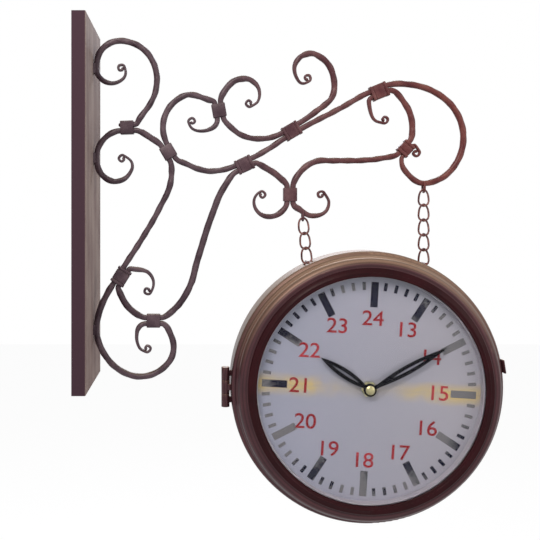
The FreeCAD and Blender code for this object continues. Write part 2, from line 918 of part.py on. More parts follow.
def snap_ring():
    """Flat spring ring, open at its foot, that locks the dial in the skirt."""
    whole = ring(stack_radius - snap_width, stack_radius, snap_back, snap_back + snap_thick)
    gap = box(
        (-snap_opening / 2, -stack_radius - 1, snap_back - 1),
        (snap_opening / 2, -stack_radius / 2, snap_back + snap_thick + 1),
    )
    return whole.cut(gap)


# ------------------------------------------------------------------ movement
movement_front = dial_back
movement_back = movement_front - movement_thick
bay_half = battery_length / 2 + contact_room
bay_tall = battery_radius + battery_room


def block(width, height, corner, low, high):
    """Upright block with rounded corners, about the arbor's axis."""
    body = box((-width / 2, -height / 2, low), (width / 2, height / 2, high))
    upright = [e for e in body.Edges if e.BoundBox.ZLength > (high - low) / 2]
    return body.makeFillet(corner, upright)


def movement_case():
    """Moulded housing with a stepped back and an open battery bay across its foot."""
    body = block(movement_size, movement_size, movement_corner, movement_back, movement_front)
    step = box(
        (-movement_size, movement_size / 2 - step_width, movement_back - 1),
        (movement_size, movement_size, movement_back + step_depth),
    )
    body = body.cut(step)
    bay = box(
        (-bay_half, -battery_low - bay_tall, movement_back - 1),
        (bay_half, bay_tall - battery_low, movement_front - movement_floor),
    )
    body = body.cut(bay)
    bore_foot = Vec(0, 0, movement_front - bore_depth)
    body = body.cut(Part.makeCylinder(tube_radius + running_gap, movement_thick, bore_foot))
    shaft = Part.makeCylinder(arbor_radius + running_gap, axle_bore, Vec(0, wheel_offset, movement_back - 1))
    return body.cut(shaft)


def battery():
    """Single cell lying across the bay, with its nub."""
    height = movement_front - movement_floor - battery_radius - 2 * stack_gap
    tip = battery_length / 2
    can = rod(battery_radius, (-tip, -battery_low, height), (tip, -battery_low, height))
    nub = rod(nub_radius, (tip - 1, -battery_low, height), (tip + nub_length, -battery_low, height))
    return can.fuse(nub)


def contacts():
    """Two sprung strips at the bay's ends."""
    height = movement_front - movement_floor - battery_radius
    wide = contact_width / 2
    tall = contact_height / 2
    pair = []
    for side in (-1, 1):
        wall = side * (bay_half - stack_gap)
        inner = wall - side * contact_thick
        low = min(wall, inner)
        high = max(wall, inner)
        strip = box((low, -battery_low - wide, height - tall), (high, wide - battery_low, height + tall))
        pair.append(strip)
    return Part.makeCompound(pair)


def bush():
    """Threaded bush that the nut pulls the movement up by."""
    return ring(tube_radius + running_gap, bush_radius, movement_front, dial_front + bush_rise)


def nut():
    """Six-sided brass nut."""
    low = dial_front + washer_thick
    corner = nut_flats / 2 / math.cos(math.pi / 6)
    points = []
    for k in range(6):
        angle = math.radians(60 * k)
        points.append(Vec(corner * math.cos(angle), corner * math.sin(angle), low))
    body = Part.Face(Part.makePolygon(points + points[:1])).extrude(Vec(0, 0, nut_thick))
    return body.cut(Part.makeCylinder(bush_radius + 0.05, nut_thick + 2, Vec(0, 0, low - 1)))


# ------------------------------------------------------------------ hands
hour_low = dial_front + bush_rise + hand_gap
minute_low = hour_low + hand_thick + 2 * hand_gap
cap_low = minute_low + hand_thick
arbor_foot = movement_front - 4.0


def leaf(start, end, width, low):
    """Leaf outline of two arcs between two points on the hand's length."""
    middle = (start + end) / 2
    right = Part.Arc(Vec(0, start, low), Vec(width / 2, middle, low), Vec(0, end, low)).toShape()
    left = Part.Arc(Vec(0, end, low), Vec(-width / 2, middle, low), Vec(0, start, low)).toShape()
    return Part.Face(Part.Wire([right, left])).extrude(Vec(0, 0, hand_thick))


def hand(length, width, slot_start, slot_end, low, bore):
    """Pressed leaf hand with a slot, a hub and a short stem behind the hub."""
    blade = leaf(0, length, width, low)
    hub = Part.makeCylinder(hub_radius, hand_thick, Vec(0, 0, low))
    stem = box((-width * 0.2, 0, low), (width * 0.2, length * 0.3, low + hand_thick))
    blank = blade.fuse([hub, stem]).removeSplitter()
    blank = blank.cut(leaf(slot_start, slot_end, width * hand_slot, low))
    return blank.cut(Part.makeCylinder(bore, hand_thick + 2, Vec(0, 0, low - 1)))


def at_angle(shape, angle):
    """Turns a hand clockwise from twelve, as its own dial is seen."""
    moved = shape.copy()
    moved.rotate(Vec(0, 0, 0), Vec(0, 0, 1), -angle)
    return moved


def hour_hand():
    """Hour hand riveted on its tube."""
    inner = arbor_radius + running_gap
    plate = hand(hour_length, hour_width, hour_length * 0.22, hour_length * 0.76, hour_low, inner)
    tube = ring(inner, tube_radius, arbor_foot, hour_low + hand_thick / 2)
    return at_angle(plate.fuse(tube).removeSplitter(), hour_angle)


def minute_hand():
    """Minute hand on its arbor."""
    plate = hand(minute_length, minute_width, minute_length * 0.29, minute_length * 0.75, minute_low, 0.5)
    arbor = Part.makeCylinder(arbor_radius, cap_low + cap_height * 0.4 - arbor_foot, Vec(0, 0, arbor_foot))
    return at_angle(plate.fuse(arbor).removeSplitter(), minute_angle)


def cap():
    """Domed brass cap over the arbor's end."""
    rise = cap_height * 0.7
    ball = (cap_radius**2 + rise**2) / (2 * rise)
    sphere = Part.makeSphere(ball, Vec(0, 0, cap_low + cap_height - ball))
    dome = sphere.common(Part.makeCylinder(cap_radius, cap_height, Vec(0, 0, cap_low)))
    return dome.cut(Part.makeCylinder(arbor_radius + press_gap, cap_height / 2, Vec(0, 0, cap_low)))


def set_wheel():
    """Ribbed wheel behind the movement that turns the hands by finger."""
    low = movement_back - stack_gap - wheel_thick
    wheel = Part.makeCylinder(wheel_radius, wheel_thick, Vec(0, wheel_offset, low))
    for k in range(wheel_ribs):
        angle = 2 * math.pi * k / wheel_ribs
        centre = Vec(wheel_radius * math.cos(angle), wheel_offset + wheel_radius * math.sin(angle), low - 1)
        wheel = wheel.cut(Part.makeCylinder(rib_radius, wheel_thick + 2, centre))
    axle = Part.makeCylinder(arbor_radius, axle_length, Vec(0, wheel_offset, low))
    return wheel.fuse(axle)


pieces = {
    "rim": rim(),
    "glass": ring(0, stack_radius, glass_back, glass_front),
    "spacer": spacer(),
    "dial": ring(bush_radius + 0.2, stack_radius, dial_back, dial_front),
    "snap_ring": snap_ring(),
    "movement": movement_case(),
    "battery": battery(),
    "contacts": contacts(),
    "bush": bush(),
    "washer": ring(bush_radius + 0.1, washer_radius, dial_front, dial_front + washer_thick),
    "nut": nut(),
    "hour_hand": hour_hand(),
    "minute_hand": minute_hand(),
    "hand_cap": cap(),
    "set_wheel": set_wheel(),
}
for face_name, face in (("front", 1), ("rear", -1)):
    for piece, shape in pieces.items():
        save(face_name + "_" + piece, placed(shape, face))

# ------------------------------------------------------------------ case hinge and catch
hinge_x = head.x - case_radius - hinge_stand - knuckle_radius
hinge_y = -band_half
knuckle_step = knuckle_length + knuckle_gap


def knuckle(step, bore):
    """One knuckle of the barrel, counted from the middle one."""
    low = head.z + step * knuckle_step - knuckle_length / 2
    high = low + knuckle_length
    tube = rod(knuckle_radius, (hinge_x, hinge_y, low), (hinge_x, hinge_y, high))
    return tube.cut(rod(bore, (hinge_x, hinge_y, low - 1), (hinge_x, hinge_y, high + 1)))


def to_case(height, tall, near, far):
    """Tab from the barrel to the case's round side."""
    tab = box(
        (hinge_x, near, height - tall / 2),
        (head.x - case_radius / 2, far, height + tall / 2),
    )
    drum = rod(case_radius + 0.02, (head.x, near - 1, head.z), (head.x, far + 1, head.z))
    pin_room = rod(pin_radius + 0.5, (hinge_x, hinge_y, height - tall), (hinge_x, hinge_y, height + tall))
    return tab.cut(drum).cut(pin_room)


def case_knuckles():
    """Upper and lower knuckles, each with its tab on the band."""
    near = seam_gap + 0.5 - band_half
    both = []
    for step in (-1, 1):
        tab = to_case(head.z + step * knuckle_step, tab_height, near, near + tab_thick)
        both.append(knuckle(step, pin_radius + 0.02).fuse(tab).removeSplitter())
    return Part.makeCompound(both)


def cover_knuckle():
    """Middle knuckle, with its arm on the front moulding."""
    far = -band_half - 0.8
    arm = to_case(head.z, arm_height, far - tab_thick, far)
    return knuckle(0, pin_radius + running_gap / 2).fuse(arm).removeSplitter()


def hinge_pin():
    """Plain pin through the three knuckles."""
    reach = knuckle_step + knuckle_length / 2
    return rod(pin_radius, (hinge_x, hinge_y, head.z - reach), (hinge_x, hinge_y, head.z + reach))


save("case_knuckles", case_knuckles())
save("cover_knuckle", cover_knuckle())
save("hinge_pin", hinge_pin())

catch_turn = math.degrees(math.asin(catch_rise / case_radius))


def at_catch(shape):
    """Carries a shape drawn on the case's right side, at mid height, up to the catch's place."""
    moved = shape.copy()
    moved.rotate(Vec(0, 0, 0), Vec(0, -1, 0), catch_turn)
    moved.translate(head)
    return moved


def catch_clip():
    """Spring strip on the band that reaches over the seam, with a finger end."""
    base = case_radius + catch_seat
    seam = -band_half
    line = [
        (base, band_half * 0.6),
        (base, seam + catch_bump * 1.5),
        (base + catch_bump, seam - finger_reach * 0.06),
        (base + catch_bump, seam - finger_reach * 0.38),
        (base + catch_neck, seam - finger_reach * 0.56),
        (base + catch_proud - catch_thick, seam - finger_reach),
    ]
    outer = [(x + catch_thick, y) for x, y in line]
    corners = [Vec(x, y, -catch_height / 2) for x, y in line + outer[::-1]]
    strip = Part.Face(Part.makePolygon(corners + corners[:1])).extrude(Vec(0, 0, catch_height))
    return at_catch(strip.cut(rivet_bore()))


def rivet_bore():
    """Room for the rivet's shank."""
    reach = band_wall + catch_thick + 1
    start = (case_radius - reach, rivet_inset, 0)
    return rod(rivet_radius + catch_seat, start, (case_radius + reach, rivet_inset, 0))


def catch_rivet():
    """Round-headed rivet that holds the clip on the band."""
    seat = case_radius + catch_seat + catch_thick
    foot = case_radius - band_wall - rivet_radius / 2
    shank = rod(rivet_radius, (foot, rivet_inset, 0), (seat, rivet_inset, 0))
    ball = rivet_radius * 1.9
    dome = Part.makeSphere(ball, Vec(seat - rivet_radius * 0.7, rivet_inset, 0))
    dome = dome.common(box((seat, -2 * ball, -2 * ball), (seat + ball, 2 * ball, 2 * ball)))
    return at_catch(shank.fuse(dome))


save("case_band", band().cut(at_catch(rivet_bore())))
save("catch_clip", catch_clip())
save("catch_rivet", catch_rivet())
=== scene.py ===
import bmesh
import bpy
import json
import math
from mathutils import Matrix, Vector


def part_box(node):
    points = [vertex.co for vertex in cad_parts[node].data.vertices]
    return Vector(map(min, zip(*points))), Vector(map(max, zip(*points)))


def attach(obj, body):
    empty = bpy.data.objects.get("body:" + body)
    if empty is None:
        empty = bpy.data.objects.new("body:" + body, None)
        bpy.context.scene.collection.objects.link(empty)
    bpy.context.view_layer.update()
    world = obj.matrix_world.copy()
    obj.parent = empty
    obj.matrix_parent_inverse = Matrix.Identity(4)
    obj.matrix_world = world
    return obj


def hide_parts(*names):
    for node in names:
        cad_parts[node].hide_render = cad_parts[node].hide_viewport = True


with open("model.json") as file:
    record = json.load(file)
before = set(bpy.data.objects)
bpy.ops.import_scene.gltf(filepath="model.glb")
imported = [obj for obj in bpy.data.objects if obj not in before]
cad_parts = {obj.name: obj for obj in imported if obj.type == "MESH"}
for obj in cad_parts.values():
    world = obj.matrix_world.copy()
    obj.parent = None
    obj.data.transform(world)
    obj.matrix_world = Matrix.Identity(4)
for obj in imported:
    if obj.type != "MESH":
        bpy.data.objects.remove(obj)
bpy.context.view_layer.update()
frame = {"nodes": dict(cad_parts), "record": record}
body_of = {node: body for body, nodes in frame["record"]["behaviour"]["bodies"].items() for node in nodes}

# ---------------------------------------------------------------- wall plate
# A tall tray folded from 1.2 mm steel, with a flat sheet in its mouth. It was sprayed upright in
# brown primer and topcoat. Faint vertical streaks on its face are painted reflections, and its folded edges
# are painted darker as shade.


def linear(colour):
    """An sRGB hex colour as linear RGBA."""
    parts = [int(colour[k:k + 2], 16) / 255 for k in (1, 3, 5)]
    return [c / 12.92 if c <= 0.04045 else ((c + 0.055) / 1.055) ** 2.4 for c in parts] + [1.0]


def add(tree, kind, sockets=None, **settings):
    """Adds a node: settings are its own properties, and sockets are input values or links.

    A colour mix takes its two colours at 6 and 7 and gives its result at 2.
    """
    node = tree.nodes.new(kind)
    for key, value in settings.items():
        setattr(node, key, value)
    for key, value in (sockets or {}).items():
        if isinstance(value, bpy.types.NodeSocket):
            tree.links.new(value, node.inputs[key])
        else:
            node.inputs[key].default_value = value
    return node


def blank_finish(name, **surface):
    """A material with one Principled shader, its constants set, and the piece's own coordinates."""
    material = bpy.data.materials.new(name)
    material.use_nodes = True
    tree = material.node_tree
    tree.nodes.clear()
    shader = add(tree, "ShaderNodeBsdfPrincipled", {key.replace("_", " "): v for key, v in surface.items()})
    add(tree, "ShaderNodeOutputMaterial", {"Surface": shader.outputs["BSDF"]})
    place = add(tree, "ShaderNodeTexCoord").outputs["Object"]
    return material, tree, shader, place


seam_width = 0.000002


def loose_copy(node):
    """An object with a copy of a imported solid's mesh, less the normals stored for its loose triangles."""
    mesh = frame["nodes"][node].data.copy()
    if "custom_normal" in mesh.attributes:
        mesh.attributes.remove(mesh.attributes["custom_normal"])
    piece = bpy.data.objects.new(node + "_finished", mesh)
    bpy.context.scene.collection.objects.link(piece)
    return piece


def settle(piece):
    """Turns a piece's modifiers into its plain mesh, shaded smooth."""
    depsgraph = bpy.context.evaluated_depsgraph_get()
    mesh = bpy.data.meshes.new_from_object(piece.evaluated_get(depsgraph))
    piece.modifiers.clear()
    piece.data = mesh
    for polygon in mesh.polygons:
        polygon.use_smooth = True


def soft_copy(node, round_mm, sharp_deg, segments=2):
    """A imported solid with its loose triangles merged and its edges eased; it takes the solid's place."""
    piece = loose_copy(node)
    weld = piece.modifiers.new("merge seams", "WELD")
    weld.merge_threshold = seam_width
    if round_mm > 0:
        ease = piece.modifiers.new("eased edges", "BEVEL")
        ease.width = round_mm / 1000
        ease.segments = segments
        ease.limit_method = "ANGLE"
        ease.angle_limit = math.radians(sharp_deg)
        ease.use_clamp_overlap = True
    settle(piece)
    piece.data.set_sharp_from_angle(angle=math.radians(sharp_deg))
    return piece


def put_on(piece, node, material):
    """Gives a finished piece its material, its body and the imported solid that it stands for."""
    piece.data.materials.clear()
    piece.data.materials.append(material)
    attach(piece, body_of[node])
    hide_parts(node)


def runny_paint():
    """Alkyd topcoat sprayed on an upright sheet: satin, with painted reflections streaking down its face
    about 9 mm apart.
    """
    material, tree, shader, place = blank_finish("sprayed alkyd paint with faint runs", Roughness=0.7,
                                                 Specular_IOR_Level=0.05)
    # The vertical streaks stretched down the face are painted reflections in the satin paint, mixed with
    # random blotches.
    streak_stretch = add(tree, "ShaderNodeMapping", {"Vector": place, "Scale": (1.0, 1.0, 0.04)})
    painted_reflection_streaks = add(tree, "ShaderNodeTexNoise",
               {"Vector": streak_stretch.outputs["Vector"], "Scale": 1000 / 9, "Detail": 3.0})
    blotch = add(tree, "ShaderNodeTexNoise", {"Vector": place, "Scale": 1000 / 45, "Detail": 4.0})
    mixed = add(tree, "ShaderNodeMath", {0: painted_reflection_streaks.outputs["Fac"], 1: blotch.outputs["Fac"]}, operation="ADD")
    shade = add(tree, "ShaderNodeMapRange", {"Value": mixed.outputs[0], "From Min": 0.75, "From Max": 1.25})
    face = add(tree, "ShaderNodeMix",
               {"Factor": shade.outputs[0], 6: linear("#937f7c"), 7: linear("#b6a59d")}, data_type="RGBA")
    # Faces turned away from the front are given the dark colour: painted shade on the folded edges.
    normal = add(tree, "ShaderNodeNewGeometry").outputs["Normal"]
    facing = add(tree, "ShaderNodeSeparateXYZ", {"Vector": normal})
    front = add(tree, "ShaderNodeMapRange",
                {"Value": facing.outputs["X"], "From Min": 0.2, "From Max": 0.9})
    edge = add(tree, "ShaderNodeMix",
               {"Factor": front.outputs[0], 6: linear("#4b3842"), 7: face.outputs[2]}, data_type="RGBA")
    tree.links.new(edge.outputs[2], shader.inputs["Base Color"])
    grain = add(tree, "ShaderNodeTexNoise", {"Vector": place, "Scale": 1000 / 1.2, "Detail": 2.0})
    bump = add(tree, "ShaderNodeBump",
               {"Height": grain.outputs["Fac"], "Strength": 0.12, "Distance": 0.0002})
    tree.links.new(bump.outputs["Normal"], shader.inputs["Normal"])
    return material


plate_paint = runny_paint()
put_on(soft_copy("wall_tray", 0.25, 30), "wall_tray", plate_paint)
put_on(soft_copy("wall_back_sheet", 0.1, 30, 1), "wall_back_sheet", plate_paint)

# ---------------------------------------------------------------- bracket
# Six scrolls of 4.8 mm square mild steel bar, twisted cold and rolled at their ends, clipped
# together by ten wrapped collars and welded to the plate. All are brushed with one brown enamel.
bar_crease = 0.24
bar_paint_mm = 0.22
bar_edge_deg = 50
quad_fold_deg = 40
quad_skew_deg = 60
collar_round_mm = 0.5
scrolls = ("upper_scroll", "back_scroll", "brace_scroll", "top_boom", "lower_boom", "crest_scroll")


def worn_bar(node):
    """A packed bar, its triangles paired into quads, swelled by its paint, and its corners worn round."""
    piece = loose_copy(node)
    work = bmesh.new()
    work.from_mesh(piece.data)
    bmesh.ops.remove_doubles(work, verts=work.verts, dist=seam_width)
    bmesh.ops.join_triangles(work, faces=work.faces, angle_face_threshold=math.radians(quad_fold_deg),
                             angle_shape_threshold=math.radians(quad_skew_deg))
    work.normal_update()
    for vertex in work.verts:
        vertex.co += vertex.normal * vertex.calc_shell_factor() * bar_paint_mm / 1000
    crease = work.edges.layers.float.new("crease_edge")
    for edge in work.edges:
        if len(edge.link_faces) == 2 and edge.calc_face_angle() > math.radians(bar_edge_deg):
            edge[crease] = bar_crease
    work.to_mesh(piece.data)
    work.free()
    rounding = piece.modifiers.new("worn corners", "SUBSURF")
    rounding.levels = 2
    rounding.render_levels = 2
    settle(piece)
    return piece


def brushed_enamel():
    """Brown oil enamel brushed on steel: purple brown, with a painted red tint of the light outwards and a
    painted olive highlight on top.
    """
    material, tree, shader, place = blank_finish("brushed brown enamel on steel", Specular_IOR_Level=0.3)
    split = add(tree, "ShaderNodeSeparateXYZ", {"Vector": place})
    # Towards the outer bars the enamel turns red: a painted tint of the light on that side.
    along = add(tree, "ShaderNodeMapRange",
                {"Value": split.outputs["X"], "From Min": 0.12, "From Max": 0.32})
    cool = add(tree, "ShaderNodeMix",
               {"Factor": along.outputs[0], 6: linear("#43303b"), 7: linear("#5e1e22")}, data_type="RGBA")
    thin = add(tree, "ShaderNodeMix",
               {"Factor": along.outputs[0], 6: linear("#63525a"), 7: linear("#7e4b44")}, data_type="RGBA")
    patches = add(tree, "ShaderNodeTexNoise",
                  {"Vector": place, "Scale": 1000 / 14, "Detail": 5.0, "Roughness": 0.6})
    worn = add(tree, "ShaderNodeMapRange",
               {"Value": patches.outputs["Fac"], "From Min": 0.35, "From Max": 0.72})
    paint = add(tree, "ShaderNodeMix", {"Factor": worn.outputs[0], 6: cool.outputs[2], 7: thin.outputs[2]},
                data_type="RGBA")
    # Upward faces are mixed towards olive beige: a painted highlight of the light from above.
    normal = add(tree, "ShaderNodeNewGeometry").outputs["Normal"]
    facing = add(tree, "ShaderNodeSeparateXYZ", {"Vector": normal})
    upward = add(tree, "ShaderNodeMapRange",
                 {"Value": facing.outputs["Z"], "From Min": 0.45, "From Max": 1.0, "To Max": 0.6})
    tone = add(tree, "ShaderNodeMix",
               {"Factor": upward.outputs[0], 6: paint.outputs[2], 7: linear("#83745c")}, data_type="RGBA")
    depth = add(tree, "ShaderNodeMapRange",
                {"Value": patches.outputs["Fac"], "From Min": 0.25, "From Max": 0.6, "To Min": 0.72,
                 "To Max": 1.0})
    shaded = add(tree, "ShaderNodeMix", {"Factor": 1.0, 6: tone.outputs[2], 7: depth.outputs[0]},
                 data_type="RGBA", blend_type="MULTIPLY")
    tree.links.new(shaded.outputs[2], shader.inputs["Base Color"])
    gloss = add(tree, "ShaderNodeMapRange",
                {"Value": patches.outputs["Fac"], "To Min": 0.3, "To Max": 0.52})
    tree.links.new(gloss.outputs[0], shader.inputs["Roughness"])
    strokes = add(tree, "ShaderNodeTexNoise", {"Vector": place, "Scale": 1000 / 1.6, "Detail": 3.0})
    bump = add(tree, "ShaderNodeBump",
               {"Height": strokes.outputs["Fac"], "Strength": 0.25, "Distance": 0.0003})
    tree.links.new(bump.outputs["Normal"], shader.inputs["Normal"])
    return material


bracket_paint = brushed_enamel()
for scroll in scrolls:
    put_on(worn_bar(scroll), scroll, bracket_paint)
for strap in ("ridged_collars", "plain_collars"):
    put_on(soft_copy(strap, collar_round_mm, 35), strap, bracket_paint)
for joint in ("plate_welds", "left_eye", "right_eye"):
    put_on(soft_copy(joint, 0.0, 40), joint, bracket_paint)

# ---------------------------------------------------------------- chains
# Twisted curb chain bent from 1.8 mm wire, three links on the left and five on the right. The last
# links hook under two short wires that are welded across holes in the case band.


def rubbed_wire():
    """Dip-painted steel wire, rubbed to a dull red brown in spots about 3.5 mm across."""
    material, tree, shader, place = blank_finish("dipped brown paint on wire", Roughness=0.4,
                                                 Specular_IOR_Level=0.4)
    spots = add(tree, "ShaderNodeTexNoise", {"Vector": place, "Scale": 1000 / 3.5, "Detail": 4.0})
    worn = add(tree, "ShaderNodeMapRange",
               {"Value": spots.outputs["Fac"], "From Min": 0.42, "From Max": 0.66})
    tone = add(tree, "ShaderNodeMix",
               {"Factor": worn.outputs[0], 6: linear("#542b2c"), 7: linear("#90605a")}, data_type="RGBA")
    tree.links.new(tone.outputs[2], shader.inputs["Base Color"])
    bump = add(tree, "ShaderNodeBump",
               {"Height": spots.outputs["Fac"], "Strength": 0.2, "Distance": 0.0002})
    tree.links.new(bump.outputs["Normal"], shader.inputs["Normal"])
    return material


wire_paint = rubbed_wire()
for chain in ("left_chain", "right_chain", "chain_lugs"):
    put_on(soft_copy(chain, 0.0, 60), chain, wire_paint)

# ---------------------------------------------------------------- case
# A rolled steel band between two spun mouldings, sprayed in a brown pearl lacquer. The front
# moulding opens on a three-knuckle hinge, and a spring clip on the right holds it shut.
head = sum((Vector(corner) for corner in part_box("front_dial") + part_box("rear_dial")), Vector()) / 4


def pearl_lacquer():
    """Brown pearl lacquer on spun steel: dark red, with a painted beige highlight on its upward faces.

    The spinning tool's marks are drawn coarse so that they show: 3 mm apart, a slight bump, and painted
    shade between them.
    """
    material, tree, shader, place = blank_finish("brown pearl lacquer on spun steel", Metallic=0.2,
                                                 Specular_IOR_Level=0.3)
    centred = add(tree, "ShaderNodeMapping", {"Vector": place, "Location": (-head.x, -head.y, -head.z)})
    split = add(tree, "ShaderNodeSeparateXYZ", {"Vector": centred.outputs["Vector"]})
    cloud = add(tree, "ShaderNodeTexNoise", {"Vector": place, "Scale": 1000 / 30, "Detail": 4.0})
    flake = add(tree, "ShaderNodeTexNoise", {"Vector": place, "Scale": 1000 / 0.8, "Detail": 2.0})
    tone = add(tree, "ShaderNodeMix",
               {"Factor": cloud.outputs["Fac"], 6: linear("#382028"), 7: linear("#573236")},
               data_type="RGBA")
    # Upward faces are mixed towards beige: a painted highlight of the light from above.
    normal = add(tree, "ShaderNodeNewGeometry").outputs["Normal"]
    facing = add(tree, "ShaderNodeSeparateXYZ", {"Vector": normal})
    upward = add(tree, "ShaderNodeMapRange",
                 {"Value": facing.outputs["Z"], "From Min": 0.1, "From Max": 0.95})
    pearl_with_painted_top_light = add(tree, "ShaderNodeMix",
                {"Factor": upward.outputs[0], 6: tone.outputs[2], 7: linear("#a1846c")}, data_type="RGBA")
    sparkle = add(tree, "ShaderNodeMapRange",
                  {"Value": flake.outputs["Fac"], "From Min": 0.35, "From Max": 0.7, "To Min": 0.9,
                   "To Max": 1.12})
    gloss = add(tree, "ShaderNodeMapRange", {"Value": cloud.outputs["Fac"], "To Min": 0.3, "To Max": 0.44})
    tree.links.new(gloss.outputs[0], shader.inputs["Roughness"])
    squares = [add(tree, "ShaderNodeMath", {0: split.outputs[axis], 1: 2.0}, operation="POWER").outputs[0]
               for axis in ("X", "Z")]
    total = add(tree, "ShaderNodeMath", {0: squares[0], 1: squares[1]}, operation="ADD")
    radius = add(tree, "ShaderNodeMath", {0: total.outputs[0]}, operation="SQRT")
    spun = add(tree, "ShaderNodeMath", {0: radius.outputs[0], 1: 1000 * 2 * math.pi / 3.0},
               operation="MULTIPLY")
    ripple = add(tree, "ShaderNodeMath", {0: spun.outputs[0]}, operation="SINE")
    # The ridges are not shaped; the darkening between them is painted shade.
    painted_groove_shade = add(tree, "ShaderNodeMapRange", {"Value": ripple.outputs[0], "From Min": -1.0, "From Max": 0.2,
                                              "To Min": 0.62, "To Max": 1.05})
    flakes_and_groove_shade = add(tree, "ShaderNodeMath", {0: sparkle.outputs[0], 1: painted_groove_shade.outputs[0]}, operation="MULTIPLY")
    shade = add(tree, "ShaderNodeMix", {"Factor": 1.0, 6: pearl_with_painted_top_light.outputs[2], 7: flakes_and_groove_shade.outputs[0]},
                data_type="RGBA", blend_type="MULTIPLY")
    tree.links.new(shade.outputs[2], shader.inputs["Base Color"])
    height = add(tree, "ShaderNodeMath", {0: ripple.outputs[0], 1: 1.5, 2: flake.outputs["Fac"]},
                 operation="MULTIPLY_ADD")
    bump = add(tree, "ShaderNodeBump", {"Height": height.outputs[0], "Strength": 0.35, "Distance": 0.00012})
    tree.links.new(bump.outputs["Normal"], shader.inputs["Normal"])
    return material


case_paint = pearl_lacquer()
for shell in ("case_band", "rear_moulding", "front_moulding"):
    put_on(soft_copy(shell, 0.12, 40, 1), shell, case_paint)
for fitting in ("case_knuckles", "cover_knuckle", "catch_clip"):
    put_on(soft_copy(fitting, 0.3, 40), fitting, case_paint)


def bare_steel(name, tint, grit):
    """Plain rolled or turned steel, left bare: a grey metal with fine drag marks at the grit's spacing."""
    material, tree, shader, place = blank_finish(name, Metallic=1.0)
    drag = add(tree, "ShaderNodeMapping", {"Vector": place, "Scale": (1.0, 0.1, 1.0)})
    lines = add(tree, "ShaderNodeTexNoise",
                {"Vector": drag.outputs["Vector"], "Scale": 1000 / grit, "Detail": 3.0})
    tone = add(tree, "ShaderNodeMapRange", {"Value": lines.outputs["Fac"], "To Min": 0.85, "To Max": 1.05})
    shade = add(tree, "ShaderNodeMix", {"Factor": 1.0, 6: linear(tint), 7: tone.outputs[0]},
                data_type="RGBA", blend_type="MULTIPLY")
    tree.links.new(shade.outputs[2], shader.inputs["Base Color"])
    rough = add(tree, "ShaderNodeMapRange", {"Value": lines.outputs["Fac"], "To Min": 0.22, "To Max": 0.42})
    tree.links.new(rough.outputs[0], shader.inputs["Roughness"])
    return material


pin_steel = bare_steel("turned hinge pin steel", "#7f7a78", 0.6)
for pin in ("hinge_pin", "catch_rivet"):
    put_on(soft_copy(pin, 0.2, 40), pin, pin_steel if pin == "hinge_pin" else case_paint)

# ---------------------------------------------------------------- sight rims
# A turned rim on each side holds the glass and the dial. It is dipped in a deep maroon enamel,
# glossy on the flange, and its fine bead catches the light.


def maroon_enamel():
    """Stoved maroon enamel: deep and glossy, redder in pools about 22 mm across."""
    material, tree, shader, place = blank_finish("stoved maroon enamel", Roughness=0.3,
                                                 Specular_IOR_Level=0.12)
    pool = add(tree, "ShaderNodeTexNoise", {"Vector": place, "Scale": 1000 / 22, "Detail": 4.0})
    tone = add(tree, "ShaderNodeMix",
               {"Factor": pool.outputs["Fac"], 6: linear("#1a0306"), 7: linear("#380c14")},
               data_type="RGBA")
    tree.links.new(tone.outputs[2], shader.inputs["Base Color"])
    peel = add(tree, "ShaderNodeTexNoise", {"Vector": place, "Scale": 1000 / 2.5, "Detail": 1.0})
    bump = add(tree, "ShaderNodeBump",
               {"Height": peel.outputs["Fac"], "Strength": 0.08, "Distance": 0.0003})
    tree.links.new(bump.outputs["Normal"], shader.inputs["Normal"])
    return material


rim_enamel = maroon_enamel()
for side in ("front", "rear"):
    put_on(soft_copy(side + "_rim", 0.12, 40, 1), side + "_rim", rim_enamel)

# ---------------------------------------------------------------- glasses
# A 2 mm float glass disc on each side, cut to the rim's bore. It is clear, with the faint grey
# green of plain soda-lime glass, and lets the lamps through to the dial.


def float_glass():
    """Clear soda-lime float glass; the lamps' rays pass straight through it to the dial."""
    material, tree, shader, place = blank_finish("clear float glass", Roughness=0.02,
                                                 Transmission_Weight=1.0, IOR=1.18,
                                                 Specular_IOR_Level=0.08)
    haze = add(tree, "ShaderNodeTexNoise", {"Vector": place, "Scale": 1000 / 60, "Detail": 2.0})
    tint = add(tree, "ShaderNodeMix",
               {"Factor": haze.outputs["Fac"], 6: linear("#f4f7f5"), 7: linear("#fbfcfa")},
               data_type="RGBA")
    tree.links.new(tint.outputs[2], shader.inputs["Base Color"])
    clear = add(tree, "ShaderNodeBsdfTransparent")
    lamp_rays = add(tree, "ShaderNodeLightPath").outputs["Is Shadow Ray"]
    pane = add(tree, "ShaderNodeMixShader", {0: lamp_rays, 1: shader.outputs[0], 2: clear.outputs[0]})
    output = next(node for node in tree.nodes if node.type == "OUTPUT_MATERIAL")
    tree.links.new(pane.outputs[0], output.inputs["Surface"])
    return material


glass = float_glass()
for side in ("front", "rear"):
    put_on(soft_copy(side + "_glass", 0.0, 40), side + "_glass", glass)

# ---------------------------------------------------------------- white rings
# A moulded polystyrene ring keeps the glass off the dial. It is white, a little yellowed, and
# spreads into a foot over the dial's edge.


def moulded_white():
    """Moulded polystyrene: white, satin, a little yellowed in patches."""
    material, tree, shader, place = blank_finish("moulded white polystyrene", Roughness=0.45)
    age = add(tree, "ShaderNodeTexNoise", {"Vector": place, "Scale": 1000 / 50, "Detail": 3.0})
    tone = add(tree, "ShaderNodeMix",
               {"Factor": age.outputs["Fac"], 6: linear("#7d798a"), 7: linear("#8f8a92")},
               data_type="RGBA")
    tree.links.new(tone.outputs[2], shader.inputs["Base Color"])
    return material


ring_white = moulded_white()
for side in ("front", "rear"):
    put_on(soft_copy(side + "_spacer", 0.1, 40, 1), side + "_spacer", ring_white)

